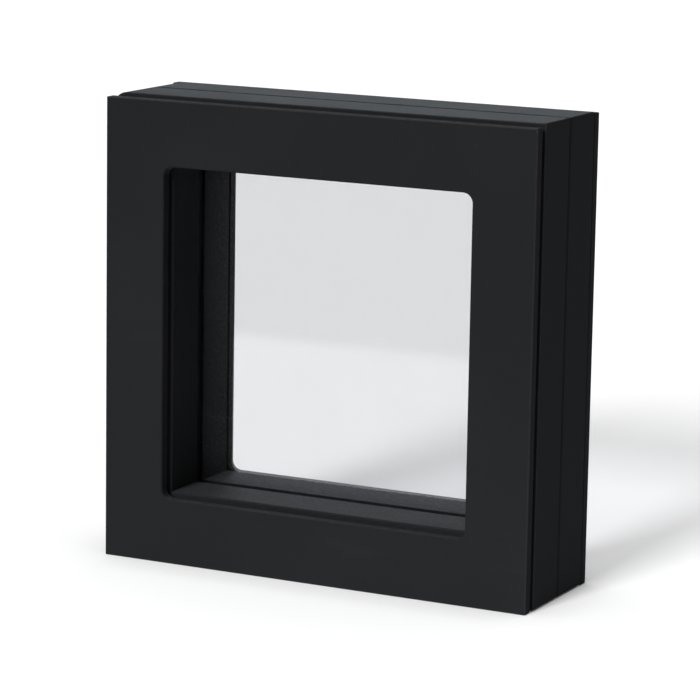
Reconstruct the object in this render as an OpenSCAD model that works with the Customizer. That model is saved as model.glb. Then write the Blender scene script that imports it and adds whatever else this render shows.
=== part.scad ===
// Floating picture frame, 70 mm square, made of two hollow mouldings that open like a book.
// Each moulding carries a clear film on its mating face, and what is shown floats between the films.
// X runs to the right, Y from the front to the back, Z up.
// The origin is the bottom centre of the closed frame, hinge barrels included.
// A "depth" is measured from the parting plane outwards, towards the cover plate of that half.

/* [Frame] */
// Outer width and height of the front cover plate
frame_w = 70; // [56:0.5:160]
// Width and height of the square window in the front cover plate
window_w = 50.3; // [20:0.1:52]
// How far the shells and the rear cover plate stand out past the front plate on every outer side
shell_out = 0.15; // [0:0.05:0.3]
// How far the shells stand past the front cover plate into the window
shell_in = 0.35; // [0:0.05:0.5]
// How far the rear cover plate stands past the shells into the window
rear_plate_in = 0.1; // [0:0.05:0.4]
// Depth of each shell, from the parting plane to the rim that carries the cover plate
shell_depth = 8.6; // [7.6:0.1:14]
// Thickness of a cover plate
plate_t = 1.8; // [1.2:0.1:3]
// Width of the shadow groove between the front shell and its cover plate
front_reveal_w = 0.7; // [0.1:0.1:1.2]
// Width of the groove between the rear shell and its cover plate, which sits almost flush
rear_reveal_w = 0.1; // [0.1:0.1:1.2]
// How far a groove is set back from the edges of its cover plate
reveal_depth = 0.7; // [0.4:0.1:1.1]
// How far the front cover plate lies below the middle of the shells, which stand clear of the table
plate_drop = 0.35; // [0.3:0.05:0.4]

/* [Edges] */
// Corner radius of the window in a cover plate
window_corner_r = 1.5; // [0.5:0.1:4]
// Radius on the long edges of a cover plate
plate_edge_r = 0.25; // [0.1:0.05:0.5]
// Radius of the outer corners of the plates and, away from the hinges, of the shells
outer_corner_r = 0.3; // [0.1:0.05:1]
// Radius of the outer corners of the shells on the hinge side
hinge_corner_r = 2.2; // [0.3:0.1:2.2]
// Radius on the outer edges of a shell beside the parting line
parting_r = 0.4; // [0.1:0.05:0.6]
// Radius on the outer edges of a shell at its rim
rim_r = 0.2; // [0.1:0.05:0.5]
// Chamfer on the inner edges of a shell at its rim
rim_chamfer = 0.2; // [0.1:0.05:0.4]
// Width of the step that runs round the window beside the parting plane
rebate_w = 0.9; // [0.3:0.1:1.2]
// How far that step is set back from the window
rebate_h = 0.5; // [0.2:0.1:0.7]

/* [Walls] */
// Outer wall of a shell
outer_wall = 1.6; // [1.5:0.1:2.2]
// Wall of a shell round the window
inner_wall = 1.5; // [1.2:0.1:2]
// Wall of a shell behind its mating face
mating_wall = 2.6; // [2.4:0.1:3.4]
// Thickness of the stiffening ribs inside a shell
rib_t = 1; // [0.6:0.1:1.6]
// Height of the ribs above the mating wall
rib_h = 3.2; // [1:0.1:4]
// Distance of the ribs from the middle of each side
rib_at = 8; // [4:0.5:12]

/* [Film] */
// Thickness of a film
film_t = 0.15; // [0.05:0.01:0.3]
// How far a film lies behind the parting plane
film_set_back = 0.02; // [0.01:0.01:0.1]
// Width of the ring that a film is welded to
ring_w = 2; // [1.2:0.1:3]
// Height of that ring
ring_h = 1.2; // [0.6:0.1:1.3]
// Distance from the window to the ring
ring_inset = 2; // [1.2:0.1:2.6]
// Clearance of the ring in its channel, on every side
ring_gap = 0.05; // [0.02:0.01:0.2]
// Corner radius of the ring and the film
ring_corner_r = 1.5; // [0.5:0.1:4]

/* [Hinge] */
// Outer diameter of a hinge barrel
barrel_d = 2.4; // [2:0.1:2.6]
// Diameter of a hinge pin
pin_d = 1; // [0.8:0.1:1.2]
// Radial clearance of a pin in the barrel that turns on it
pin_play = 0.05; // [0.01:0.01:0.1]
// How far the hinge axis lies outside the left side
axis_out = 0.1; // [0.05:0.05:0.3]
// Length of one knuckle
knuckle_l = 4; // [2.5:0.1:6]
// Clearance between neighbouring knuckles
knuckle_gap = 0.2; // [0.1:0.05:0.4]
// How far a pin ends inside the outer knuckles
pin_recess = 0.3; // [0.1:0.05:0.8]
// Clearance round a barrel in the notch of the other shell
notch_gap = 0.25; // [0.15:0.05:0.4]
// Distance of each hinge from the middle of the left side
hinge_at = 21; // [16:0.5:24]

/* [Closing pegs] */
// Diameter of a closing peg
peg_d = 2.4; // [1.6:0.1:2.6]
// Length of a closing peg
peg_l = 2.2; // [1.2:0.1:2.6]
// Radial clearance of a peg in its socket
peg_gap = 0.1; // [0.08:0.01:0.2]
// Chamfer on the tip of a peg
peg_tip = 0.3; // [0.1:0.05:0.6]
// Distance from the right side to the pegs
peg_inset = 3.2; // [2.8:0.1:3.4]
// Distance of each peg from the middle of the right side
peg_at = 26; // [24:0.5:28]
// Floor left under a socket
socket_floor = 0.8; // [0.5:0.1:1.2]

/* [Snap hooks] */
// Width of a snap hook
hook_w = 4; // [2:0.5:6]
// Thickness of the arm of a hook
hook_arm = 1.2; // [0.8:0.1:1.4]
// How far the nose of a hook stands out from its arm
hook_nose = 1.2; // [0.9:0.1:1.4]
// Height of the nose of a hook
nose_h = 1.1; // [0.8:0.1:1.4]
// How far the catch stands out from the outer wall
catch_reach = 1.3; // [1:0.1:1.4]
// Height of the catch
catch_h = 1.2; // [0.8:0.1:1.4]
// Distance from the rim of the shell to the catch
catch_from_rim = 1.9; // [1.2:0.1:2]
// Clearance between a hook and its catch along the depth
catch_gap = 0.1; // [0.05:0.01:0.2]
// Sideways play of a cover plate on its hooks
plate_play = 0.5; // [0.45:0.05:0.6]
// Distance of each hook from the middle of a side
hook_at = 16; // [14:0.5:18]

/* [Hidden] */
$fn = 48;
// Overlap that makes a cut run clear of the face it starts from
cut = 1;
barrel_r = barrel_d / 2;
half_w = frame_w / 2;
half_window = window_w / 2;
shell_half = half_w + shell_out;
shell_window = half_window - shell_in;
// The wider groove is at the front, so the parting plane lies behind the middle by half the difference
parting_y = (front_reveal_w - rear_reveal_w) / 2;
film_seat = film_set_back + film_t;
// The barrels stand out on the left, so the middle of the frame lies right of the origin by half of that
barrel_reach = axis_out + barrel_r;
middle_x = barrel_reach / 2;
shell_z = half_w + plate_drop;
axis_x = -shell_half - axis_out;
pin_l = 3 * knuckle_l + 2 * knuckle_gap - 2 * pin_recess;
ring_inner = shell_window + ring_inset;
ring_outer = ring_inner + ring_w;
cavity_outer = shell_half - outer_wall;
cavity_inner = shell_window + inner_wall;
catch_top = shell_depth - catch_from_rim;
catch_bottom = catch_top - catch_h;
nose_top = catch_bottom - catch_gap;
nose_bottom = nose_top - nose_h;
// Inward face of the hooks, measured from the middle of the plate
hook_face = cavity_outer - catch_reach - plate_play;
catch_w = hook_w + 2 * plate_play + rib_t;
socket_depth = peg_l + catch_gap;
boss_r = peg_d / 2 + peg_gap + socket_floor;
plastic = "#2a2c2e";
ring_plastic = "#3a3c3f";
clear_film = [0.86, 0.88, 0.9, 0.25];
steel = "#b9bcc0";

// Places a shape drawn round the middle of a shell or plate
module at_height(z) {
    translate([middle_x, parting_y, z])
        children();
}

// Runs a flat shape, drawn as depth against height, along X
module along_x(length) {
    rotate([90, 0, 90])
        linear_extrude(length, center = true)
            children();
}

// Runs the same flat shape, drawn as depth against width, along Z
module along_z(length) {
    rotate([0, 0, 90])
        linear_extrude(length, center = true)
            children();
}

// Runs a flat shape, drawn as width against height, from one depth to another on the front side
module through(from, to) {
    rotate([90, 0, 0])
        translate([0, 0, from])
            linear_extrude(to - from)
                children();
}

// A block whose half width at each depth follows the outline given, the same in X and in Z
module square_block(length) {
    intersection() {
        along_x(length)
            children();
        along_z(length)
            children();
    }
}

module rounded_square(half, r) {
    square([2 * half, 2 * (half - r)], center = true);
    square([2 * (half - r), 2 * half], center = true);
    for (x = [-1, 1], y = [-1, 1])
        translate([x * (half - r), y * (half - r)])
            circle(r);
}

module rounded_ring(outer, inner, r) {
    difference() {
        rounded_square(outer, r);
        rounded_square(inner, max(r - outer + inner, r / 3));
    }
}

// Outline of a plate or a shell seen from its edge: a bar with its own corner radius at either end
module rounded_bar(from, to, half, from_r, to_r) {
    translate([-to + to_r, -half])
        square([to - from - from_r - to_r, 2 * half]);
    for (end = [[-from - from_r, from_r], [-to + to_r, to_r]]) {
        translate([end[0], 0])
            square([2 * end[1], 2 * (half - end[1])], center = true);
        for (side = [-1, 1])
            translate([end[0], side * (half - end[1])])
                circle(end[1]);
    }
}

// Outline of what a window takes away beside a rounded edge, from the centre of its corner outwards
module mouth_outline(from, to, corner_r, edge_r) {
    difference() {
        translate([0, from - cut])
            square([corner_r + edge_r, to - from + 2 * cut]);
        translate([corner_r, from + edge_r])
            square([edge_r + cut, to - from - 2 * edge_r]);
        for (y = [from + edge_r, to - edge_r])
            translate([corner_r + edge_r, y])
                circle(edge_r);
    }
}

// A square window with round corners and rounded edges, cut between two depths
module plate_window(from, to, half) {
    straight = half - window_corner_r;
    through(from - cut, to + cut)
        square(2 * straight, center = true);
    for (turn = [0:90:270])
        rotate([0, turn, 0]) {
            translate([0, 0, straight])
                along_x(2 * straight)
                    rotate(90)
                        mouth_outline(from, to, window_corner_r, plate_edge_r);
            translate([straight, 0, straight])
                rotate([90, 0, 0])
                    rotate_extrude()
                        mouth_outline(from, to, window_corner_r, plate_edge_r);
        }
}

module snap_hook(plate_back) {
    translate([0, 0, hook_face])
        along_x(hook_w)
            polygon([
                [-plate_back, 0],
                [-plate_back, -hook_arm],
                [-nose_bottom, -hook_arm],
                [-nose_bottom, hook_nose / 3],
                [-nose_top + nose_h / 3, hook_nose],
                [-nose_top, hook_nose],
                [-nose_top, 0]
            ]);
}

// A cover plate of the given half width and half window, standing off its shell by the groove
module cover_plate(half, window, reveal_w) {
    plate_back = shell_depth + reveal_w;
    plate_face = plate_back + plate_t;
    difference() {
        intersection() {
            square_block(2 * half + cut)
                rounded_bar(plate_back, plate_face, half, plate_edge_r, plate_edge_r);
            through(0, plate_face + cut)
                rounded_square(half, outer_corner_r);
        }
        plate_window(plate_back, plate_face, window);
    }
    through(shell_depth, plate_back + plate_edge_r)
        rounded_ring(half - reveal_depth, window + reveal_depth, outer_corner_r);
    for (turn = [0:90:270], side = [-1, 1])
        rotate([0, turn, 0])
            translate([side * hook_at, 0, 0])
                snap_hook(plate_back);
}

// One side of a square that is rounded at its corners
module rounded_side(half, r) {
    intersection() {
        rounded_square(half, r);
        translate([0, -half])
            square([half, 2 * half]);
    }
}

// Outline of a shell seen from the front, rounder at the corners on the hinge side
module shell_face() {
    rounded_side(shell_half, outer_corner_r);
    mirror([1, 0])
        rounded_side(shell_half, hinge_corner_r);
}

// Outline of what the window takes from a shell, stepped at the parting plane and flared at the rim
module shell_window_outline() {
    polygon([
        [cut, -shell_window - rebate_h],
        [-rebate_w, -shell_window - rebate_h],
        [-rebate_w, -shell_window],
        [-shell_depth + rim_chamfer, -shell_window],
        [-shell_depth - cut, -shell_window - rim_chamfer - cut],
        [-shell_depth - cut, shell_window + rim_chamfer + cut],
        [-shell_depth + rim_chamfer, shell_window],
        [-rebate_w, shell_window],
        [-rebate_w, shell_window + rebate_h],
        [cut, shell_window + rebate_h]
    ]);
}

// The hollow between the outer and the inner wall, open towards the cover plate
module shell_cavity() {
    difference() {
        through(mating_wall, shell_depth + cut)
            difference() {
                square(2 * cavity_outer, center = true);
                square(2 * cavity_inner, center = true);
            }
        for (turn = [0:90:270])
            rotate([0, turn, 0]) {
                for (side = [-1, 1])
                    translate([side * rib_at, 0, (cavity_outer + cavity_inner) / 2])
                        through(mating_wall - cut, mating_wall + rib_h)
                            square([rib_t, cavity_outer - cavity_inner + cut], center = true);
                for (side = [-1, 1])
                    translate([side * hook_at, 0, cavity_outer])
                        along_x(catch_w)
                            polygon([
                                [-catch_top, cut],
                                [-catch_top, -catch_reach / 2],
                                [-catch_top + catch_reach / 2, -catch_reach],
                                [-catch_bottom, -catch_reach],
                                [-catch_bottom, cut]
                            ]);
            }
    }
}

// Channel for the film ring, with the shallow seat for the film round it
module film_channel() {
    through(-cut, film_seat)
        rounded_square(ring_outer + ring_gap, ring_corner_r);
    through(0, film_seat + ring_h + ring_gap)
        rounded_ring(ring_outer + ring_gap, ring_inner - ring_gap, ring_corner_r);
}

// Where the knuckles of one hinge stand: the middle one at 0, the outer ones a step away
knuckle_step = knuckle_l + knuckle_gap;
front_knuckles = [-knuckle_step, knuckle_step];
rear_knuckles = [0];

module on_axis(steps, r, length) {
    for (end = [-1, 1], step = steps)
        translate([axis_x, 0, end * hinge_at + step])
            cylinder(h = length, r = r, center = true);
}

// A bare shell of the front half
module shell_body() {
    difference() {
        intersection() {
            square_block(2 * shell_half + cut)
                rounded_bar(0, shell_depth, shell_half, parting_r, rim_r);
            through(-cut, shell_depth + cut)
                shell_face();
        }
        square_block(frame_w)
            shell_window_outline();
        shell_cavity();
        film_channel();
    }
}

// A shell with its own knuckles, cut clear of the other shell's knuckles
module hinged_shell(own, other, bore_r) {
    difference() {
        union() {
            difference() {
                children();
                on_axis(other, barrel_r + notch_gap, knuckle_l + 2 * knuckle_gap);
            }
            on_axis(own, barrel_r, knuckle_l);
        }
        on_axis(own, bore_r, knuckle_l + knuckle_gap);
    }
}

module at_pegs() {
    for (side = [-1, 1])
        translate([shell_half - peg_inset, 0, side * peg_at])
            rotate([90, 0, 0])
                children();
}

module front_cover_plate() {
    color(plastic)
        at_height(half_w)
            cover_plate(half_w, half_window, front_reveal_w);
}

module front_shell() {
    color(plastic)
        at_height(shell_z)
            hinged_shell(front_knuckles, rear_knuckles, pin_d / 2)
                difference() {
                    union() {
                        shell_body();
                        at_pegs()
                            translate([0, 0, mating_wall / 2])
                                cylinder(h = socket_depth + socket_floor - mating_wall / 2, r = boss_r);
                    }
                    at_pegs()
                        translate([0, 0, -cut])
                            cylinder(h = socket_depth + cut, r = peg_d / 2 + peg_gap);
                }
}

module front_film() {
    color(clear_film)
        at_height(shell_z)
            through(film_set_back, film_seat)
                rounded_square(ring_outer, ring_corner_r);
}

module front_film_ring() {
    color(ring_plastic)
        at_height(shell_z)
            through(film_seat, film_seat + ring_h)
                rounded_ring(ring_outer, ring_inner, ring_corner_r);
}

module rear_cover_plate() {
    color(plastic)
        at_height(shell_half)
            mirror([0, 1, 0])
                cover_plate(shell_half, shell_window - rear_plate_in, rear_reveal_w);
}

module rear_shell() {
    color(plastic)
        at_height(shell_z)
            hinged_shell(rear_knuckles, front_knuckles, pin_d / 2 + pin_play)
                union() {
                    mirror([0, 1, 0])
                        shell_body();
                    at_pegs() {
                        translate([0, 0, -mating_wall / 2])
                            cylinder(h = mating_wall / 2 + peg_l - peg_tip, r = peg_d / 2);
                        translate([0, 0, peg_l - peg_tip])
                            cylinder(h = peg_tip, r1 = peg_d / 2, r2 = peg_d / 2 - peg_tip);
                    }
                }
}

module rear_film() {
    color(clear_film)
        at_height(shell_z)
            mirror([0, 1, 0])
                through(film_set_back, film_seat)
                    rounded_square(ring_outer, ring_corner_r);
}

module rear_film_ring() {
    color(ring_plastic)
        at_height(shell_z)
            mirror([0, 1, 0])
                through(film_seat, film_seat + ring_h)
                    rounded_ring(ring_outer, ring_inner, ring_corner_r);
}

module hinge_pin(side) {
    color(steel)
        at_height(shell_z)
            translate([axis_x, 0, side * hinge_at])
                cylinder(h = pin_l, d = pin_d, center = true);
}

module upper_hinge_pin() {
    hinge_pin(1);
}

module lower_hinge_pin() {
    hinge_pin(-1);
}

front_cover_plate();
front_shell();
front_film();
front_film_ring();
rear_cover_plate();
rear_shell();
rear_film();
rear_film_ring();
upper_hinge_pin();
lower_hinge_pin();
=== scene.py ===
"""Floating picture frame: finishes, films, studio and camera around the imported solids."""

import math

import bpy
from bpy.props import FloatProperty, FloatVectorProperty, PointerProperty
from mathutils import Matrix, Vector


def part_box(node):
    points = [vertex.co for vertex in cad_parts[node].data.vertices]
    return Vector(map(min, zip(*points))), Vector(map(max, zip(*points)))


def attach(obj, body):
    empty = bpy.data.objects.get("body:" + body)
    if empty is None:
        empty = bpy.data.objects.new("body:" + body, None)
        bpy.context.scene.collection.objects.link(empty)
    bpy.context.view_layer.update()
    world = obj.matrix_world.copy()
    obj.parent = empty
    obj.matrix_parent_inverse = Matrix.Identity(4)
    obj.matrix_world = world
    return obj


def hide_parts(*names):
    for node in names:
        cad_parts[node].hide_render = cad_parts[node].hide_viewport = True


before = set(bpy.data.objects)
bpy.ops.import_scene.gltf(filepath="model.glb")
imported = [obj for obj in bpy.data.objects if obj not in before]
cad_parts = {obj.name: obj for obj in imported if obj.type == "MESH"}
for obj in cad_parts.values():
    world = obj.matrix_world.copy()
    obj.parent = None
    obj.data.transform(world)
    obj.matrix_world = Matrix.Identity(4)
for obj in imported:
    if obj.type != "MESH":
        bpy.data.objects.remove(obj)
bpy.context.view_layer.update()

bl_info = {
    "name": "Floating Picture Frame",
    "version": (1, 0, 0),
    "blender": (4, 5, 0),
    "location": "View3D > Sidebar > Frame",
    "description": "Finishes, films and studio for a hinged floating picture frame",
    "category": "Object",
}

MM = 0.001
FRONT, REAR = -1, 1

# Depths on the solids: where the halves meet, the groove before the rear plate, where the
# plates start on either side, and where the haze on the window's walls, partly painted light from
# behind, is thickest
PARTING = 0.3 * MM
REAR_SEAM = 8.9 * MM
PLATES_FROM = 8.95 * MM
REAR_FACE = 10 * MM

# Middle of the window, and the distances from it between which a mask fades in on the rails'
# outer sides, or out beyond the window's walls
MIDDLE_X, MIDDLE_Z = 0.65 * MM, 35.35 * MM
RAILS_FROM = (27 * MM, 29 * MM)
WINDOW_TO = (25.3 * MM, 25.8 * MM)

# The films: corner radius, half width of the free film and the ramp up to its full slack, the
# dimple's place from the middle, and the share of lamp light that each surface passes
FILM_CORNER = 1.5 * MM
FREE_FILM = 24.8 * MM
FREE_FILM_RAMP = 12 * MM
FILM_BUMP = 0.00000002
DIMPLE_RIGHT, DIMPLE_DOWN = 5.2 * MM, 1.2 * MM
LIGHT_PASSED = (0.881, 0.885, 0.89, 1.0)

# The set, and the heights on the sky between which the overhead light begins
FLOOR_RADIUS = 5.0
# reach of the painted contact shadow: the floor's added white fades this close to the frame
CONTACT_REACH = 0.009
PAPER_END_BLUR = 0.009
OVERHEAD_FROM = (0.7, 0.85)


# Sizes and colours that a user would change


class MouldingFinish(bpy.types.PropertyGroup):
    """Matt black moulded plastic of the shells and cover plates."""

    colour: FloatVectorProperty(
        name="Plastic colour",
        description="Colour of the moulded plastic",
        subtype="COLOR",
        size=3,
        min=0,
        max=1,
        default=(0.0129, 0.0137, 0.0151),
    )
    worn_colour: FloatVectorProperty(
        name="Handled colour",
        description="Colour where hands and dust have lightened the plastic",
        subtype="COLOR",
        size=3,
        min=0,
        max=1,
        default=(0.0177, 0.0184, 0.0197),
    )
    # partly burnish and partly a painted highlight along the edges
    burnish_and_highlight_colour: FloatVectorProperty(
        name="Edge colour",
        description="Colour of the burnished line along outside edges",
        subtype="COLOR",
        size=3,
        min=0,
        max=1,
        default=(0.0232, 0.0241, 0.0258),
    )
    # also painted sheen: faces that look upwards are lightened as grazing light does
    dust_and_sheen_colour: FloatVectorProperty(
        name="Dust colour",
        description="Colour that faces which look upwards take on from settled dust and painted light",
        subtype="COLOR",
        size=3,
        min=0,
        max=1,
        default=(0.034, 0.0345, 0.0355),
    )
    roughness: FloatProperty(
        name="Roughness",
        description="Roughness of the moulded surface between its marks",
        default=0.86,
        min=0.2,
        max=1,
    )
    shine: FloatProperty(
        name="Shine",
        description="Specular level of the plastic",
        default=0.06,
        min=0,
        max=1,
    )
    grain_size: FloatProperty(
        name="Grain size",
        description="Width of one bump of the spark-eroded mould texture",
        unit="LENGTH",
        precision=6,
        default=0.00022,
        min=0.00005,
        max=0.002,
    )
    grain_height: FloatProperty(
        name="Grain height",
        description="Height of the mould texture",
        unit="LENGTH",
        precision=7,
        default=0.000004,
        min=0,
        max=0.0001,
    )
    # also the width of the painted highlight along the edges
    edge_width: FloatProperty(
        name="Edge width",
        description="Width of the burnished line along outside edges",
        unit="LENGTH",
        precision=6,
        default=0.00018,
        min=0.00002,
        max=0.001,
    )


class RingFinish(bpy.types.PropertyGroup):
    """Plain moulded plastic of the two film rings."""

    colour: FloatVectorProperty(
        name="Ring colour",
        description="Colour of the film rings",
        subtype="COLOR",
        size=3,
        min=0,
        max=1,
        default=(0.028, 0.03, 0.032),
    )
    worn_colour: FloatVectorProperty(
        name="Weld colour",
        description="Colour of the faint flow marks in the ring",
        subtype="COLOR",
        size=3,
        min=0,
        max=1,
        default=(0.04, 0.042, 0.045),
    )
    roughness: FloatProperty(
        name="Roughness",
        description="Roughness of the ring between its marks",
        default=0.42,
        min=0.1,
        max=1,
    )


class FilmFinish(bpy.types.PropertyGroup):
    """Clear stretched film."""

    tint: FloatVectorProperty(
        name="Film tint",
        description="Share of each colour that one film lets through",
        subtype="COLOR",
        size=3,
        min=0,
        max=1,
        default=(0.86, 0.866, 0.875),
    )
    haze_colour: FloatVectorProperty(
        name="Haze colour",
        description="Colour of the dust and haze on the film",
        subtype="COLOR",
        size=3,
        min=0,
        max=1,
        default=(0.75, 0.77, 0.8),
    )
    dimple_depth: FloatProperty(
        name="Dimple depth",
        description="How far an earlier exhibit has pressed the film outwards",
        unit="LENGTH",
        precision=7,
        default=0.00001,
        min=0,
        max=0.0005,
    )
    dimple_radius: FloatProperty(
        name="Dimple radius",
        description="Reach of that dimple",
        unit="LENGTH",
        precision=6,
        default=0.0022,
        min=0.001,
        max=0.02,
    )
    slack: FloatProperty(
        name="Slack",
        description="Height of the slow waves in the stretched film",
        unit="LENGTH",
        precision=7,
        default=0.000004,
        min=0,
        max=0.0003,
    )
    mesh_step: FloatProperty(
        name="Mesh step",
        description="Width of one cell of the film's mesh",
        unit="LENGTH",
        precision=6,
        default=0.00055,
        min=0.0004,
        max=0.005,
    )


class PinFinish(bpy.types.PropertyGroup):
    """Drawn steel wire of the hinge pins."""

    colour: FloatVectorProperty(
        name="Steel colour",
        description="Colour of the drawn steel",
        subtype="COLOR",
        size=3,
        min=0,
        max=1,
        default=(0.56, 0.57, 0.58),
    )
    stain_colour: FloatVectorProperty(
        name="Grease colour",
        description="Colour of the old grease on the pins",
        subtype="COLOR",
        size=3,
        min=0,
        max=1,
        default=(0.2, 0.18, 0.15),
    )
    roughness: FloatProperty(
        name="Roughness",
        description="Roughness of the drawn surface",
        default=0.28,
        min=0.05,
        max=1,
    )


class StudioSet(bpy.types.PropertyGroup):
    """Floor, lamps, surroundings and camera."""

    floor_colour: FloatVectorProperty(
        name="Floor colour",
        description="Colour of the pale paper sweep",
        subtype="COLOR",
        size=3,
        min=0,
        max=1,
        default=(0.865, 0.865, 0.865),
    )
    floor_lift: FloatProperty(
        name="Floor lift",
        description="White added to the floor where the camera sees it",
        default=0.245,
        min=0,
        max=1,
    )
    key_strength: FloatProperty(
        name="Key light",
        description="Brightness that the key light alone gives a white floor",
        default=0.465,
        min=0,
        max=2,
    )
    key_height: FloatProperty(
        name="Key elevation",
        description="Angle of the key light above the floor",
        subtype="ANGLE",
        default=math.radians(29.4),
        min=0,
        max=math.pi / 2,
    )
    key_turn: FloatProperty(
        name="Key direction",
        description="Angle of the key light to the left of the frame's front",
        subtype="ANGLE",
        default=math.radians(6.3),
        min=-math.pi,
        max=math.pi,
    )
    key_spread: FloatProperty(
        name="Key spread",
        description="Angle that the key light covers, seen from the frame",
        subtype="ANGLE",
        default=math.radians(15),
        min=0,
        max=math.pi / 2,
    )
    top_strength: FloatProperty(
        name="Overhead light",
        description="Brightness of the large soft light overhead",
        default=1.16,
        min=0,
        max=5,
    )
    back_strength: FloatProperty(
        name="Back light",
        description="Strength of the soft light low behind the frame, which spares the floor",
        default=1.3,
        min=0,
        max=20,
    )
    back_height: FloatProperty(
        name="Back elevation",
        description="Angle of the back light above the floor",
        subtype="ANGLE",
        default=math.radians(11),
        min=0,
        max=math.pi / 2,
    )
    back_turn: FloatProperty(
        name="Back direction",
        description="Angle of the back light to the left of straight behind the frame",
        subtype="ANGLE",
        default=math.radians(27),
        min=-math.pi,
        max=math.pi,
    )
    back_spread: FloatProperty(
        name="Back spread",
        description="Angle that the back light covers, seen from the frame",
        subtype="ANGLE",
        default=math.radians(20),
        min=0,
        max=math.pi / 2,
    )
    surround: FloatProperty(
        name="Surroundings",
        description="Brightness of the dim studio round the set",
        default=0.05,
        min=0,
        max=1,
    )
    paper_front: FloatProperty(
        name="Paper front edge",
        description="Distance in front of the frame at which the paper ends in its reflection",
        unit="LENGTH",
        default=0.161,
        min=0.05,
        max=2,
    )
    lens: FloatProperty(
        name="Lens",
        description="Focal length on a 36 mm sensor, in millimetres",
        default=172.63,
        min=20,
        max=400,
    )
    view_turn: FloatProperty(
        name="View direction",
        description="Angle of the camera to the right of the frame's front",
        subtype="ANGLE",
        default=math.radians(26.928),
    )
    view_height: FloatProperty(
        name="View elevation",
        description="Angle of the camera above the floor",
        subtype="ANGLE",
        default=math.radians(10.687),
    )
    view_roll: FloatProperty(
        name="View roll",
        description="Turn of the camera about its own axis",
        subtype="ANGLE",
        default=math.radians(0.965),
    )
    view_distance: FloatProperty(
        name="View distance",
        description="Distance from the camera to the point that it looks at",
        unit="LENGTH",
        default=0.48603,
        min=0.1,
    )
    aim: FloatVectorProperty(
        name="Aim",
        description="Point on the front face that the camera looks at",
        subtype="XYZ",
        unit="LENGTH",
        size=3,
        precision=6,
        default=(0.00689, -0.0108, 0.035806),
    )


# Building shader nodes


def place(tree, kind, **settings):
    """A new shader node with the settings given."""
    made = tree.nodes.new(kind)
    for name, value in settings.items():
        setattr(made, name, value)
    return made


def feed(tree, socket, value):
    """Wires a value's socket into another, or writes a plain number or colour on it."""
    if isinstance(value, bpy.types.NodeSocket):
        tree.links.new(value, socket)
    else:
        socket.default_value = value


def calc(tree, operation, *values, clamp=False):
    """One arithmetic step on numbers or sockets."""
    made = place(tree, "ShaderNodeMath", operation=operation, use_clamp=clamp)
    for socket, value in zip(made.inputs, values, strict=False):
        feed(tree, socket, value)
    return made.outputs[0]


def spread(tree, value, low, high, to_low=0.0, to_high=1.0, smooth=True):
    """Maps a value from one range to another, held at both ends."""
    made = place(
        tree,
        "ShaderNodeMapRange",
        interpolation_type="SMOOTHSTEP" if smooth else "LINEAR",
        clamp=True,
    )
    for name, number in (
        ("Value", value),
        ("From Min", low),
        ("From Max", high),
        ("To Min", to_low),
        ("To Max", to_high),
    ):
        feed(tree, made.inputs[name], number)
    return made.outputs["Result"]


def mixed(tree, share, first, second):
    """A colour between two colours."""
    made = place(tree, "ShaderNodeMix", data_type="RGBA")
    feed(tree, made.inputs["Factor"], share)
    feed(tree, made.inputs["A"], rgba(first))
    feed(tree, made.inputs["B"], rgba(second))
    return made.outputs["Result"]


def rgba(colour):
    if isinstance(colour, bpy.types.NodeSocket):
        return colour
    return (*tuple(colour)[:3], 1.0)


def noise(tree, position, scale, detail=2.0, roughness=0.5, stretch=None):
    """Noise of a given scale per metre, drawn out along an axis where stretch says so."""
    if stretch is not None:
        drawn = place(tree, "ShaderNodeMapping")
        feed(tree, drawn.inputs["Vector"], position)
        drawn.inputs["Scale"].default_value = stretch
        position = drawn.outputs["Vector"]
    made = place(tree, "ShaderNodeTexNoise", noise_dimensions="3D")
    for name, value in (
        ("Vector", position),
        ("Scale", scale),
        ("Detail", detail),
        ("Roughness", roughness),
    ):
        feed(tree, made.inputs[name], value)
    return made.outputs["Fac"]


def new_group(name, inputs, outputs):
    """An empty shader node group with named inputs and outputs."""
    group = bpy.data.node_groups.new(name, "ShaderNodeTree")
    for label, kind, value in inputs:
        socket = group.interface.new_socket(name=label, in_out="INPUT", socket_type=kind)
        if value is not None:
            socket.default_value = value
    for label, kind in outputs:
        group.interface.new_socket(name=label, in_out="OUTPUT", socket_type=kind)
    entry = place(group, "NodeGroupInput")
    leave = place(group, "NodeGroupOutput")
    return group, entry.outputs, leave.inputs


def once(name, build):
    """The node group of that name, built the first time it is asked for."""
    return bpy.data.node_groups.get(name) or build(name)


def use_group(tree, group, **inputs):
    """Places a group in a tree and feeds its inputs, whose names have underscores for spaces."""
    made = place(tree, "ShaderNodeGroup", node_tree=group)
    for name, value in inputs.items():
        feed(tree, made.inputs[name.replace("_", " ")], value)
    return made.outputs


FLOAT, VECTOR = "NodeSocketFloat", "NodeSocketVector"


def build_mould_grain(name):
    """Spark-eroded mould texture: close pits of one size over a slower unevenness."""
    group, given, result = new_group(
        name,
        [("Position", VECTOR, None), ("Grain Size", FLOAT, 0.0003)],
        [("Height", FLOAT), ("Speckle", FLOAT)],
    )
    per_metre = calc(group, "DIVIDE", 0.7, given["Grain Size"])
    fine = noise(group, given["Position"], per_metre, detail=3, roughness=0.62)
    slow = noise(group, given["Position"], calc(group, "MULTIPLY", per_metre, 0.23), detail=1)
    feed(group, result["Height"], calc(group, "MULTIPLY_ADD", slow, 0.45, fine))
    feed(group, result["Speckle"], spread(group, fine, 0.3, 0.72))
    return group


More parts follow.
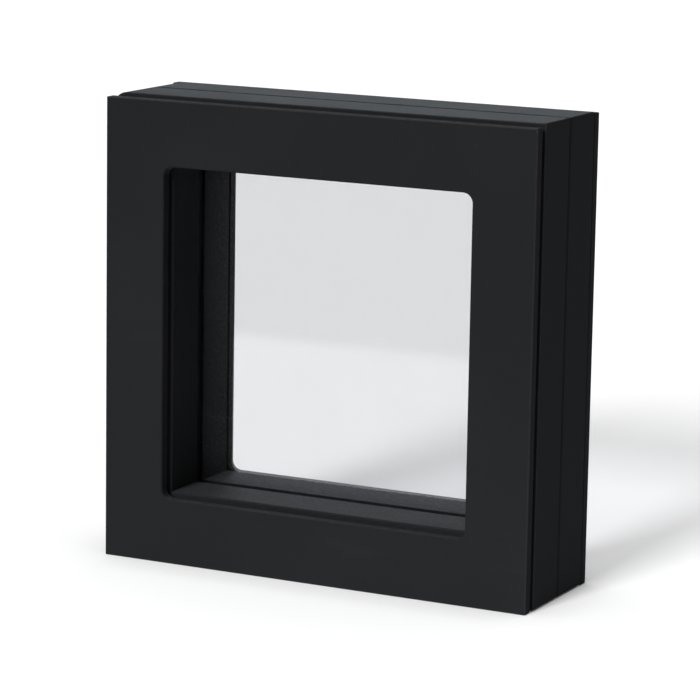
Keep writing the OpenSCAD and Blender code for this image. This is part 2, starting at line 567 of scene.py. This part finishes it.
def build_handling(name):
    """Marks of handling: slow blotches, faint wipe lines and a little settled lint."""
    group, given, result = new_group(
        name,
        [("Position", VECTOR, None), ("Blotch Size", FLOAT, 0.02)],
        [("Blotch", FLOAT), ("Wipe", FLOAT), ("Lint", FLOAT)],
    )
    position = given["Position"]
    per_metre = calc(group, "DIVIDE", 1.0, given["Blotch Size"])
    slow = noise(group, position, per_metre, detail=3, roughness=0.55)
    feed(group, result["Blotch"], spread(group, slow, 0.42, 0.72))
    drawn = noise(group, position, 900.0, detail=2, roughness=0.6, stretch=(0.07, 1.0, 0.55))
    gate = spread(group, slow, 0.5, 0.66)
    lines = spread(group, drawn, 0.6, 0.74)
    feed(group, result["Wipe"], calc(group, "MULTIPLY", lines, gate))
    cells = place(group, "ShaderNodeTexVoronoi", voronoi_dimensions="3D", feature="F1")
    feed(group, cells.inputs["Vector"], position)
    cells.inputs["Scale"].default_value = 420.0
    near = spread(group, cells.outputs["Distance"], 0.018, 0.05, 1.0, 0.0)
    picked = place(group, "ShaderNodeSeparateColor")
    feed(group, picked.inputs["Color"], cells.outputs["Color"])
    rare = calc(group, "GREATER_THAN", picked.outputs["Red"], 0.86)
    feed(group, result["Lint"], calc(group, "MULTIPLY", near, rare))
    return group


def from_middle(group, position):
    """How far a point lies from the window's middle, across or up, and the point's depth."""
    where = place(group, "ShaderNodeSeparateXYZ")
    feed(group, where.inputs[0], position)
    across = calc(group, "ABSOLUTE", calc(group, "SUBTRACT", where.outputs["X"], MIDDLE_X))
    up = calc(group, "ABSOLUTE", calc(group, "SUBTRACT", where.outputs["Z"], MIDDLE_Z))
    return calc(group, "MAXIMUM", across, up), where.outputs["Y"]


def build_edge_burnish_and_highlight(name):
    """Mask of outside and plate edges, for burnish and a painted highlight, broken up by noise,
    and the normal that softens them.
    """
    group, given, result = new_group(
        name,
        [("Position", VECTOR, None), ("Width", FLOAT, 0.0002)],
        [("Edge", FLOAT), ("Soft Normal", VECTOR)],
    )
    rounded = place(group, "ShaderNodeBevel", samples=6)
    feed(group, rounded.inputs["Radius"], given["Width"])
    surface = place(group, "ShaderNodeNewGeometry")
    match = place(group, "ShaderNodeVectorMath", operation="DOT_PRODUCT")
    feed(group, match.inputs[0], rounded.outputs["Normal"])
    feed(group, match.inputs[1], surface.outputs["Normal"])
    turned = spread(group, match.outputs["Value"], 0.995, 0.86, 0.0, 1.0)
    facing = place(group, "ShaderNodeSeparateXYZ")
    feed(group, facing.inputs[0], place(group, "ShaderNodeTexCoord").outputs["Normal"])
    rim, depth = from_middle(group, given["Position"])
    half = calc(group, "SIGN", calc(group, "SUBTRACT", depth, PARTING))
    outwards = calc(group, "MULTIPLY", facing.outputs["Y"], half)
    # painted highlight on edges whose normal leans outwards along the depth, towards the lamps
    leaning_highlight = calc(
        group,
        "MULTIPLY",
        spread(group, outwards, 0.1, 0.35),
        spread(group, outwards, 0.9, 0.99, 1.0, 0.0),
    )
    broken = noise(group, given["Position"], 1400.0, detail=3, roughness=0.6)
    patchy = spread(group, broken, 0.34, 0.6, 0.6, 1.0)
    outside = spread(group, rim, *RAILS_FROM)
    on_plate = calc(group, "GREATER_THAN", calc(group, "ABSOLUTE", depth), PLATES_FROM)
    turned = calc(group, "MULTIPLY", turned, calc(group, "MAXIMUM", outside, on_plate))
    edge = calc(group, "MAXIMUM", turned, calc(group, "MULTIPLY", leaning_highlight, outside))
    feed(group, result["Edge"], calc(group, "MULTIPLY", edge, patchy))
    feed(group, result["Soft Normal"], rounded.outputs["Normal"])
    return group


def build_dust_and_painted_light(name):
    """Dust on faces that look upwards, partly painted sheen, kept off the seams as painted shade,
    and a haze in the window that is lighter towards the rear as painted light.
    """
    group, given, result = new_group(
        name,
        [("Position", VECTOR, None), ("Wiped", FLOAT, 0.0)],
        [("Dust", FLOAT), ("Haze", FLOAT)],
    )
    facing = place(group, "ShaderNodeSeparateXYZ")
    feed(group, facing.inputs[0], place(group, "ShaderNodeTexCoord").outputs["Normal"])
    # painted sheen as well as dust: faces that look upwards are lightened, as grazing light does
    level = spread(group, facing.outputs["Z"], 0.6, 0.97)
    grains = noise(group, given["Position"], 2600.0, detail=4, roughness=0.7)
    thick = spread(group, grains, 0.36, 0.66, 0.35, 1.0)
    thick = calc(group, "MULTIPLY", thick, spread(group, given["Wiped"], 0.0, 1.0, 1.0, 0.55))
    rim, depth = from_middle(group, given["Position"])
    outside = spread(group, rim, *RAILS_FROM)
    thick = calc(group, "MULTIPLY", thick, spread(group, outside, 0.0, 1.0, 1.0, 0.55))
    # painted shade in the seams: the dust stops short of them, so they stay dark like shaded
    # grooves
    for seam, clear in ((PARTING, 0.75 * MM), (REAR_SEAM, 0.5 * MM)):
        away = calc(group, "ABSOLUTE", calc(group, "SUBTRACT", depth, seam))
        dust_gap_shade = spread(group, away, 0.6 * clear, clear)
        thick = calc(group, "MULTIPLY", thick, dust_gap_shade)
    feed(group, result["Dust"], calc(group, "MULTIPLY", level, thick))
    # painted light from behind: the window walls' haze grows lighter from the front towards the
    # rear face
    lighter_to_rear = spread(group, depth, -0.5 * MM, REAR_FACE, 0.085, 1.0, smooth=False)
    inside = spread(group, rim, *WINDOW_TO, 1.0, 0.0)
    sideways = spread(group, calc(group, "ABSOLUTE", facing.outputs["Y"]), 0.3, 0.8, 1.0, 0.0)
    inside = calc(group, "MULTIPLY", inside, sideways)
    loose = spread(group, grains, 0.34, 0.7, 0.5, 1.4)
    lighter_to_rear = calc(group, "MULTIPLY", lighter_to_rear, loose)
    feed(group, result["Haze"], calc(group, "MULTIPLY", inside, lighter_to_rear))
    return group


def build_film_dust(name):
    """Dust on a clear film: pin-point specks, short fibres and a slow haze."""
    group, given, result = new_group(
        name,
        [("Position", VECTOR, None), ("Seed", FLOAT, 0.0)],
        [("Specks", FLOAT), ("Haze", FLOAT), ("Scratches", FLOAT)],
    )
    moved = place(group, "ShaderNodeVectorMath", operation="ADD")
    shift = place(group, "ShaderNodeCombineXYZ")
    for axis, times in (("X", 0.37), ("Y", 0.11), ("Z", 0.23)):
        feed(group, shift.inputs[axis], calc(group, "MULTIPLY", given["Seed"], times))
    feed(group, moved.inputs[0], given["Position"])
    feed(group, moved.inputs[1], shift.outputs[0])
    position = moved.outputs[0]
    total = None
    for scale, reach, keep in ((650.0, 0.045, 0.55), (230.0, 0.03, 0.8)):
        cells = place(group, "ShaderNodeTexVoronoi", voronoi_dimensions="3D", feature="F1")
        feed(group, cells.inputs["Vector"], position)
        cells.inputs["Scale"].default_value = scale
        picked = place(group, "ShaderNodeSeparateColor")
        feed(group, picked.inputs["Color"], cells.outputs["Color"])
        size = calc(group, "MULTIPLY", picked.outputs["Green"], reach)
        inside = calc(group, "SUBTRACT", size, cells.outputs["Distance"])
        speck = spread(group, inside, 0.0, 0.012)
        rare = calc(group, "GREATER_THAN", picked.outputs["Red"], keep)
        part = calc(group, "MULTIPLY", speck, rare)
        total = part if total is None else calc(group, "MAXIMUM", total, part)
    feed(group, result["Specks"], total)
    slow = noise(group, position, 95.0, detail=4, roughness=0.6)
    feed(group, result["Haze"], spread(group, slow, 0.3, 0.8))
    drawn = noise(group, position, 1500.0, detail=1, roughness=0.5, stretch=(0.03, 1.0, 0.6))
    feed(group, result["Scratches"], spread(group, drawn, 0.69, 0.76))
    return group


def build_drawn_wire(name):
    """Long streaks left by the drawing die, with patches of old grease."""
    group, given, result = new_group(
        name,
        [("Position", VECTOR, None)],
        [("Streaks", FLOAT), ("Stain", FLOAT)],
    )
    streaks = noise(
        group, given["Position"], 9000.0, detail=2, roughness=0.6, stretch=(1.0, 1.0, 0.03)
    )
    feed(group, result["Streaks"], streaks)
    patches = noise(group, given["Position"], 700.0, detail=3, roughness=0.6)
    feed(group, result["Stain"], spread(group, patches, 0.5, 0.7))
    return group


def new_material(name):
    """An empty material with a surface shader, and the object coordinates for its pattern."""
    material = bpy.data.materials.new(name)
    material.use_nodes = True
    tree = material.node_tree
    tree.nodes.clear()
    output = place(tree, "ShaderNodeOutputMaterial")
    shader = place(tree, "ShaderNodeBsdfPrincipled")
    feed(tree, output.inputs["Surface"], shader.outputs[0])
    position = place(tree, "ShaderNodeTexCoord").outputs["Object"]
    return material, tree, shader, position, output


def bumped(tree, height, reach, normal=None):
    """A normal from a height between 0 and 1, where 1 stands for reach metres."""
    made = place(tree, "ShaderNodeBump")
    made.inputs["Distance"].default_value = reach
    feed(tree, made.inputs["Height"], height)
    if normal is not None:
        feed(tree, made.inputs["Normal"], normal)
    return made.outputs["Normal"]


def matt_moulding(name, finish, blotch_size):
    """Fine matt moulded plastic, lightened a little by handling and burnished on its edges; the
    edge line is partly a painted highlight, the dust on faces that look upwards is partly painted
    sheen, the seams on top carry painted shade and the window's walls painted light from behind.
    """
    material, tree, shader, position, _ = new_material(name)
    grain = use_group(
        tree,
        once("mould grain", build_mould_grain),
        Position=position,
        Grain_Size=finish.grain_size,
    )
    marks = use_group(
        tree, once("handling marks", build_handling), Position=position, Blotch_Size=blotch_size
    )
    burnish_and_highlight = use_group(
        tree, once("edge wear", build_edge_burnish_and_highlight), Position=position, Width=finish.edge_width
    )
    lighter = calc(tree, "MULTIPLY", marks["Blotch"], 0.45)
    lighter = calc(tree, "MULTIPLY_ADD", grain["Speckle"], 0.3, lighter)
    lighter = calc(tree, "MULTIPLY_ADD", marks["Wipe"], 0.35, lighter, clamp=True)
    dust = use_group(
        tree,
        once("settled dust and painted light", build_dust_and_painted_light),
        Position=position,
        Wiped=marks["Blotch"],
    )
    colour = mixed(tree, lighter, finish.colour, finish.worn_colour)
    # the edge line: partly burnish, partly a painted highlight
    colour = mixed(tree, burnish_and_highlight["Edge"], colour, finish.burnish_and_highlight_colour)
    # dust on faces that look upwards, partly painted sheen
    colour = mixed(tree, dust["Dust"], colour, finish.dust_and_sheen_colour)
    # lint, and the window walls' haze, partly painted light from behind, lighten the colour
    lint = calc(tree, "MULTIPLY", marks["Lint"], 0.14)
    lint = calc(tree, "MULTIPLY_ADD", dust["Haze"], 0.2, lint)
    feed(tree, shader.inputs["Base Color"], mixed(tree, lint, colour, (0.32, 0.32, 0.33)))
    rough = calc(tree, "MULTIPLY_ADD", grain["Speckle"], 0.06, finish.roughness - 0.03)
    rough = calc(tree, "MULTIPLY_ADD", marks["Blotch"], 0.035, rough)
    rough = calc(tree, "MULTIPLY_ADD", burnish_and_highlight["Edge"], -0.42, rough)
    feed(tree, shader.inputs["Roughness"], rough)
    shader.inputs["Specular IOR Level"].default_value = finish.shine
    normal = bumped(tree, grain["Height"], finish.grain_height, normal=burnish_and_highlight["Soft Normal"])
    feed(tree, shader.inputs["Normal"], normal)
    return material


def ring_plastic(name, finish):
    """Plain moulded plastic with faint flow marks."""
    material, tree, shader, position, _ = new_material(name)
    grain = use_group(
        tree, once("mould grain", build_mould_grain), Position=position, Grain_Size=0.0004
    )
    marks = use_group(
        tree, once("handling marks", build_handling), Position=position, Blotch_Size=0.008
    )
    lighter = calc(tree, "MULTIPLY_ADD", marks["Wipe"], 0.5, marks["Blotch"], clamp=True)
    feed(
        tree, shader.inputs["Base Color"], mixed(tree, lighter, finish.colour, finish.worn_colour)
    )
    rough = calc(tree, "MULTIPLY_ADD", marks["Blotch"], 0.12, finish.roughness)
    feed(tree, shader.inputs["Roughness"], rough)
    shader.inputs["Specular IOR Level"].default_value = 0.4
    feed(tree, shader.inputs["Normal"], bumped(tree, grain["Height"], 0.000002))
    return material


def drawn_steel(name, finish):
    """Bright drawn wire with die streaks and a little old grease."""
    material, tree, shader, position, _ = new_material(name)
    wire = use_group(tree, once("drawn wire", build_drawn_wire), Position=position)
    share = calc(tree, "MULTIPLY", wire["Stain"], 0.5)
    feed(tree, shader.inputs["Base Color"], mixed(tree, share, finish.colour, finish.stain_colour))
    rough = calc(tree, "MULTIPLY_ADD", wire["Streaks"], 0.16, finish.roughness - 0.08)
    rough = calc(tree, "MULTIPLY_ADD", wire["Stain"], 0.15, rough)
    feed(tree, shader.inputs["Roughness"], rough)
    shader.inputs["Metallic"].default_value = 1.0
    feed(tree, shader.inputs["Normal"], bumped(tree, wire["Streaks"], 0.000003))
    return material


def clear_film(name, finish, seed):
    """Clear glossy film with dust; lamps shine through it."""
    material, tree, shader, position, output = new_material(name)
    dust = use_group(tree, once("film dust", build_film_dust), Position=position, Seed=seed)
    shader.inputs["Transmission Weight"].default_value = 1.0
    shader.inputs["IOR"].default_value = 1.42
    soiled = calc(tree, "MULTIPLY", dust["Haze"], 0.2)
    feed(
        tree,
        shader.inputs["Base Color"],
        mixed(tree, soiled, finish.tint, tuple(c * 0.97 for c in finish.tint)),
    )
    rough = calc(tree, "MULTIPLY", dust["Scratches"], 0.05)
    feed(tree, shader.inputs["Roughness"], rough)
    film_bump = calc(tree, "MULTIPLY_ADD", dust["Haze"], 0.4, dust["Scratches"])
    feed(tree, shader.inputs["Normal"], bumped(tree, film_bump, FILM_BUMP))
    settled = place(tree, "ShaderNodeBsdfPrincipled")
    settled.inputs["Roughness"].default_value = 1.0
    settled.inputs["Specular IOR Level"].default_value = 0.0
    feed(
        tree,
        settled.inputs["Base Color"],
        mixed(tree, dust["Specks"], finish.haze_colour, (0.9, 0.9, 0.9)),
    )
    veil = calc(tree, "MULTIPLY_ADD", dust["Haze"], 0.0014, 0.0004)
    veil = calc(tree, "MULTIPLY_ADD", dust["Specks"], 0.1, veil)
    veil = calc(tree, "MULTIPLY_ADD", dust["Scratches"], 0.003, veil)
    dusty = place(tree, "ShaderNodeMixShader")
    feed(tree, dusty.inputs[0], veil)
    feed(tree, dusty.inputs[1], shader.outputs[0])
    feed(tree, dusty.inputs[2], settled.outputs[0])
    through = place(tree, "ShaderNodeBsdfTransparent")
    through.inputs["Color"].default_value = LIGHT_PASSED
    path = place(tree, "ShaderNodeLightPath").outputs
    lit = calc(tree, "MAXIMUM", path["Is Shadow Ray"], path["Is Diffuse Ray"])
    for_lamps = place(tree, "ShaderNodeMixShader")
    feed(tree, for_lamps.inputs[0], lit)
    feed(tree, for_lamps.inputs[1], dusty.outputs[0])
    feed(tree, for_lamps.inputs[2], through.outputs[0])
    feed(tree, output.inputs["Surface"], for_lamps.outputs[0])
    return material


# Shaping pieces by hand


def start_fresh():
    """Leaves edit mode and selects nothing."""
    if bpy.context.object is not None and bpy.context.object.mode != "OBJECT":
        bpy.ops.object.mode_set(mode="OBJECT")
    bpy.ops.object.select_all(action="DESELECT")


def settle(piece):
    """Applies the piece's place, so that its object sits at the origin."""
    start_fresh()
    piece.select_set(True)
    bpy.context.view_layer.objects.active = piece
    bpy.ops.object.transform_apply(location=True, rotation=True, scale=True)


def wear_finish(piece, material):
    """Puts one material on the whole piece."""
    if not piece.material_slots:
        piece.data.materials.append(material)
    for slot in piece.material_slots:
        slot.material = material


def stretched_film(name, node, outwards, finish):
    """A square sheet of film with round corners, slack away from the parting plane."""
    low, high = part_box(node)
    middle = (low + high) / 2
    width = high.x - low.x
    thickness = high.y - low.y
    inner = high.y if outwards < 0 else low.y
    start_fresh()
    cells = round(width / finish.mesh_step)
    bpy.ops.mesh.primitive_grid_add(
        x_subdivisions=cells,
        y_subdivisions=cells,
        size=width,
        location=(middle.x, inner, middle.z),
        rotation=(math.pi / 2, 0, 0),
    )
    film = bpy.context.object
    film.name = name
    film.data.name = name
    bpy.ops.object.transform_apply(location=True, rotation=True, scale=True)
    bpy.ops.object.mode_set(mode="EDIT")
    bpy.ops.mesh.select_mode(type="VERT")
    for right in (-1, 1):
        for up in (-1, 1):
            centre = Vector(
                (
                    middle.x + right * (width / 2 - FILM_CORNER),
                    inner,
                    middle.z + up * (width / 2 - FILM_CORNER),
                )
            )
            for turn in (15, 30, 45, 60, 75):
                angle = math.radians(turn)
                out = Vector((right * math.cos(angle), 0, up * math.sin(angle)))
                bpy.ops.mesh.select_all(action="SELECT")
                bpy.ops.mesh.bisect(
                    plane_co=centre + out * FILM_CORNER, plane_no=out, clear_outer=True
                )
    bpy.ops.object.mode_set(mode="OBJECT")
    free = film.vertex_groups.new(name="free film")
    for vertex in film.data.vertices:
        rim = max(abs(vertex.co.x - middle.x), abs(vertex.co.z - middle.z))
        share = min(1.0, max(0.0, (FREE_FILM - rim) / FREE_FILM_RAMP))
        free.add([vertex.index], share * share * (3 - 2 * share), "REPLACE")
    waves = bpy.data.textures.new(name + " waves", "CLOUDS")
    waves.noise_scale = 0.02
    waves.noise_depth = 1
    slack = film.modifiers.new("slack", "DISPLACE")
    slack.texture = waves
    slack.vertex_group = free.name
    slack.direction = "Y"
    slack.mid_level = 0.0
    slack.strength = outwards * finish.slack
    bpy.ops.object.modifier_apply(modifier=slack.name)
    return film, middle, thickness, inner


def press_dimple(film, at, outwards, depth, reach):
    """Pushes the film outwards round one point, as an earlier exhibit has."""
    start_fresh()
    film.select_set(True)
    bpy.context.view_layer.objects.active = film
    near = min(film.data.vertices, key=lambda v: (v.co - at).length).index
    bpy.ops.object.mode_set(mode="EDIT")
    bpy.ops.mesh.select_mode(type="VERT")
    bpy.ops.mesh.select_all(action="DESELECT")
    bpy.ops.object.mode_set(mode="OBJECT")
    film.data.vertices[near].select = True
    bpy.ops.object.mode_set(mode="EDIT")
    bpy.ops.transform.translate(
        value=(0, outwards * depth, 0),
        use_proportional_edit=True,
        proportional_edit_falloff="SPHERE",
        proportional_size=reach,
    )
    bpy.ops.object.mode_set(mode="OBJECT")


def thicken(film, outwards, thickness):
    """Gives the sheet its thickness, away from the parting plane, and smooths it."""
    start_fresh()
    film.select_set(True)
    bpy.context.view_layer.objects.active = film
    wall = film.modifiers.new("film thickness", "SOLIDIFY")
    wall.thickness = thickness
    wall.offset = 1.0 if outwards < 0 else -1.0
    wall.use_even_offset = True
    bpy.ops.object.modifier_apply(modifier=wall.name)
    bpy.ops.object.mode_set(mode="EDIT")
    bpy.ops.mesh.select_all(action="SELECT")
    bpy.ops.mesh.normals_make_consistent(inside=False)
    bpy.ops.object.mode_set(mode="OBJECT")
    bpy.ops.object.shade_smooth_by_angle(angle=math.radians(40))


class FRAME_OT_mouldings(bpy.types.Operator):
    """Gives the cover plates and shells their matt black moulded finish."""

    bl_idname = "display_frame.mouldings"
    bl_label = "Plates and shells"

    def execute(self, context):
        finish = context.scene.frame_moulding
        plate = matt_moulding("matt black plate", finish, 0.03)
        shell = matt_moulding("matt black shell", finish, 0.022)
        for half in ("front", "rear"):
            wear_finish(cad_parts[half + "_cover_plate"], plate)
            wear_finish(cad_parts[half + "_shell"], shell)
        return {"FINISHED"}


class FRAME_OT_film_rings(bpy.types.Operator):
    """Gives the film rings their plain moulded finish."""

    bl_idname = "display_frame.film_rings"
    bl_label = "Film rings"

    def execute(self, context):
        plastic = ring_plastic("plain ring plastic", context.scene.frame_ring)
        for half in ("front", "rear"):
            wear_finish(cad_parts[half + "_film_ring"], plastic)
        return {"FINISHED"}


class FRAME_OT_films(bpy.types.Operator):
    """Stretches a clear film over each half, in place of the plain sheets."""

    bl_idname = "display_frame.films"
    bl_label = "Films"

    def execute(self, context):
        finish = context.scene.frame_film
        for half, outwards, seed in (("front", FRONT, 1.0), ("rear", REAR, 2.0)):
            node = half + "_film"
            film, middle, thickness, inner = stretched_film(
                half + "_film_sheet", node, outwards, finish
            )
            at = Vector((middle.x + DIMPLE_RIGHT, inner, middle.z - DIMPLE_DOWN))
            press_dimple(film, at, outwards, finish.dimple_depth, finish.dimple_radius)
            thicken(film, outwards, thickness)
            wear_finish(film, clear_film(half + " clear film", finish, seed))
            settle(film)
            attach(film, half + "_half")
            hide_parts(node)
        return {"FINISHED"}


class FRAME_OT_hinge_pins(bpy.types.Operator):
    """Gives the two hinge pins their drawn steel."""

    bl_idname = "display_frame.hinge_pins"
    bl_label = "Hinge pins"

    def execute(self, context):
        steel = drawn_steel("drawn steel wire", context.scene.frame_pin)
        for end in ("upper", "lower"):
            wear_finish(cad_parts[end + "_hinge_pin"], steel)
        return {"FINISHED"}


def key_light(studio):
    """The soft key light, from the front and a little left, the same over the whole set."""
    bpy.ops.object.light_add(type="SUN", location=(0, -1, 1))
    lamp = bpy.context.object
    lamp.data.angle = studio.key_spread
    lamp.data.energy = math.pi * studio.key_strength / math.sin(studio.key_height)
    lamp.rotation_euler = (math.pi / 2 - studio.key_height, 0, -studio.key_turn)
    return lamp


def back_light(studio, floor):
    """A low soft light from behind that grazes the level faces and leaves the paper alone."""
    bpy.ops.object.light_add(type="SUN", location=(0, 1, 1))
    lamp = bpy.context.object
    lamp.data.angle = studio.back_spread
    lamp.data.energy = studio.back_strength
    lamp.data.color = (0.83, 0.94, 1.0)
    lamp.rotation_euler = (math.pi / 2 - studio.back_height, 0, math.pi + studio.back_turn)
    spared = bpy.data.collections.new("spared by the back light")
    spared.objects.link(floor)
    spared.collection_objects[0].light_linking.link_state = "EXCLUDE"
    lamp.light_linking.receiver_collection = spared
    return lamp


def looked_at(tree):
    """1 for what the camera sees directly or through film, 0 for what only lights a piece."""
    path = place(tree, "ShaderNodeLightPath").outputs
    straight = calc(tree, "MAXIMUM", path["Is Camera Ray"], path["Is Transmission Ray"])
    bounces = calc(tree, "ADD", path["Glossy Depth"], path["Diffuse Depth"])
    return calc(tree, "MULTIPLY", straight, calc(tree, "LESS_THAN", bounces, 0.5)), path


def paper_floor(name, studio):
    """White paper that keeps its shadows.

    The white added for the camera fades near what stands on it, as a painted contact shadow. In
    reflections, and for what it lights, the paper ends a little way in front of the frame.
    """
    material, tree, shader, position, output = new_material(name)
    fibre = noise(tree, position, 900.0, detail=3, roughness=0.6)
    pale = tuple(studio.floor_colour)
    paper = mixed(tree, spread(tree, fibre, 0.35, 0.65), pale, tuple(c * 0.985 for c in pale))
    shader.inputs["Roughness"].default_value = 1.0
    shader.inputs["Specular IOR Level"].default_value = 0.0
    direct, path = looked_at(tree)
    shown = calc(tree, "SUBTRACT", path["Is Glossy Ray"], path["Diffuse Depth"], clamp=True)
    seen = calc(tree, "MAXIMUM", direct, shown)
    feed(tree, shader.inputs["Base Color"], paper)
    # painted contact shadow: the added white fades where ambient occlusion finds the frame close
    # by
    near = place(tree, "ShaderNodeAmbientOcclusion", samples=8)
    near.inputs["Distance"].default_value = CONTACT_REACH
    lift = calc(tree, "MULTIPLY", near.outputs["AO"], studio.floor_lift)
    feed(tree, shader.inputs["Emission Color"], (1.0, 1.0, 1.0, 1.0))
    apart = place(tree, "ShaderNodeSeparateXYZ")
    feed(tree, apart.inputs[0], position)
    feed(tree, shader.inputs["Emission Strength"], calc(tree, "MULTIPLY", seen, lift))
    end = -studio.paper_front
    past = spread(
        tree, apart.outputs["Y"], end - PAPER_END_BLUR, end + PAPER_END_BLUR, 1.0, 0.0
    )
    dim = place(tree, "ShaderNodeEmission")
    dim.inputs["Color"].default_value = (0.92, 0.96, 1.0, 1.0)
    dim.inputs["Strength"].default_value = studio.surround
    ends = place(tree, "ShaderNodeMixShader")
    unseen = calc(tree, "SUBTRACT", 1.0, direct)
    feed(tree, ends.inputs[0], calc(tree, "MULTIPLY", past, unseen))
    feed(tree, ends.inputs[1], shader.outputs[0])
    feed(tree, ends.inputs[2], dim.outputs[0])
    feed(tree, output.inputs["Surface"], ends.outputs[0])
    return material


def studio_air(studio):
    """Surroundings: white where the camera looks, otherwise a dim room under a soft light."""
    world = bpy.data.worlds.new("studio")
    bpy.context.scene.world = world
    world.use_nodes = True
    tree = world.node_tree
    tree.nodes.clear()
    output = place(tree, "ShaderNodeOutputWorld")
    direction = place(tree, "ShaderNodeTexCoord").outputs["Generated"]
    apart = place(tree, "ShaderNodeSeparateXYZ")
    feed(tree, apart.inputs[0], direction)
    height = apart.outputs["Z"]
    overhead = spread(tree, height, *OVERHEAD_FROM, 0.0, studio.top_strength)
    strength = calc(tree, "ADD", overhead, studio.surround)
    room = place(tree, "ShaderNodeBackground")
    room.inputs["Color"].default_value = (0.985, 0.99, 1.0, 1.0)
    feed(tree, room.inputs["Strength"], strength)
    white = place(tree, "ShaderNodeBackground")
    white.inputs["Color"].default_value = (1.0, 1.0, 1.0, 1.0)
    white.inputs["Strength"].default_value = 1.0
    choose = place(tree, "ShaderNodeMixShader")
    feed(tree, choose.inputs[0], looked_at(tree)[0])
    feed(tree, choose.inputs[1], room.outputs[0])
    feed(tree, choose.inputs[2], white.outputs[0])
    feed(tree, output.inputs["Surface"], choose.outputs[0])


class FRAME_OT_studio(bpy.types.Operator):
    """Lays the pale floor, hangs the soft lights and sets up the camera."""

    bl_idname = "display_frame.studio"
    bl_label = "Studio and camera"

    def execute(self, context):
        studio = context.scene.frame_studio
        start_fresh()
        bpy.ops.mesh.primitive_circle_add(vertices=96, radius=FLOOR_RADIUS, fill_type="NGON")
        floor = context.object
        floor.name = "floor"
        wear_finish(floor, paper_floor("white paper", studio))

        key_light(studio).name = "key light"
        back_light(studio, floor).name = "back light"
        studio_air(studio)

        bpy.ops.object.camera_add()
        camera = context.object
        camera.name = "main camera"
        camera.data.sensor_width = 36.0
        camera.data.lens = studio.lens
        camera.data.clip_start = 0.01
        camera.data.clip_end = 50.0
        turned = (
            Matrix.Rotation(studio.view_turn, 4, "Z")
            @ Matrix.Rotation(math.pi / 2 - studio.view_height, 4, "X")
            @ Matrix.Rotation(studio.view_roll, 4, "Z")
        )
        back = turned.to_3x3() @ Vector((0, 0, 1))
        camera.matrix_world = (
            Matrix.Translation(Vector(studio.aim) + back * studio.view_distance) @ turned
        )
        context.scene.camera = camera
        context.scene.view_settings.view_transform = "Standard"
        return {"FINISHED"}


class FRAME_PT_panel(bpy.types.Panel):
    """Lists the steps that dress the frame."""

    bl_idname = "FRAME_PT_panel"
    bl_label = "Floating picture frame"
    bl_space_type = "VIEW_3D"
    bl_region_type = "UI"
    bl_category = "Frame"

    def draw(self, context):
        for group, steps in PANEL_ROWS:
            box = self.layout.box()
            for step in steps:
                box.operator(step.bl_idname)
            settings = getattr(context.scene, group)
            for name in settings.bl_rna.properties.keys():
                if name not in {"rna_type", "name"}:
                    box.prop(settings, name)


SETTINGS = {
    "frame_moulding": MouldingFinish,
    "frame_ring": RingFinish,
    "frame_film": FilmFinish,
    "frame_pin": PinFinish,
    "frame_studio": StudioSet,
}
PANEL_ROWS = (
    ("frame_moulding", (FRAME_OT_mouldings,)),
    ("frame_ring", (FRAME_OT_film_rings,)),
    ("frame_film", (FRAME_OT_films,)),
    ("frame_pin", (FRAME_OT_hinge_pins,)),
    ("frame_studio", (FRAME_OT_studio,)),
)
STEPS = tuple(step for _, steps in PANEL_ROWS for step in steps)


def register():
    for settings in SETTINGS.values():
        bpy.utils.register_class(settings)
    for step in (*STEPS, FRAME_PT_panel):
        bpy.utils.register_class(step)
    for name, settings in SETTINGS.items():
        setattr(bpy.types.Scene, name, PointerProperty(type=settings))


def unregister():
    for name in SETTINGS:
        delattr(bpy.types.Scene, name)
    for step in (FRAME_PT_panel, *reversed(STEPS)):
        bpy.utils.unregister_class(step)
    for settings in reversed(SETTINGS.values()):
        bpy.utils.unregister_class(settings)


def main():
    """Dresses the frame step by step."""
    register()
    bpy.ops.display_frame.studio()
    bpy.ops.display_frame.mouldings()
    bpy.ops.display_frame.film_rings()
    bpy.ops.display_frame.films()
    bpy.ops.display_frame.hinge_pins()


if __name__ == "__main__":
    main()
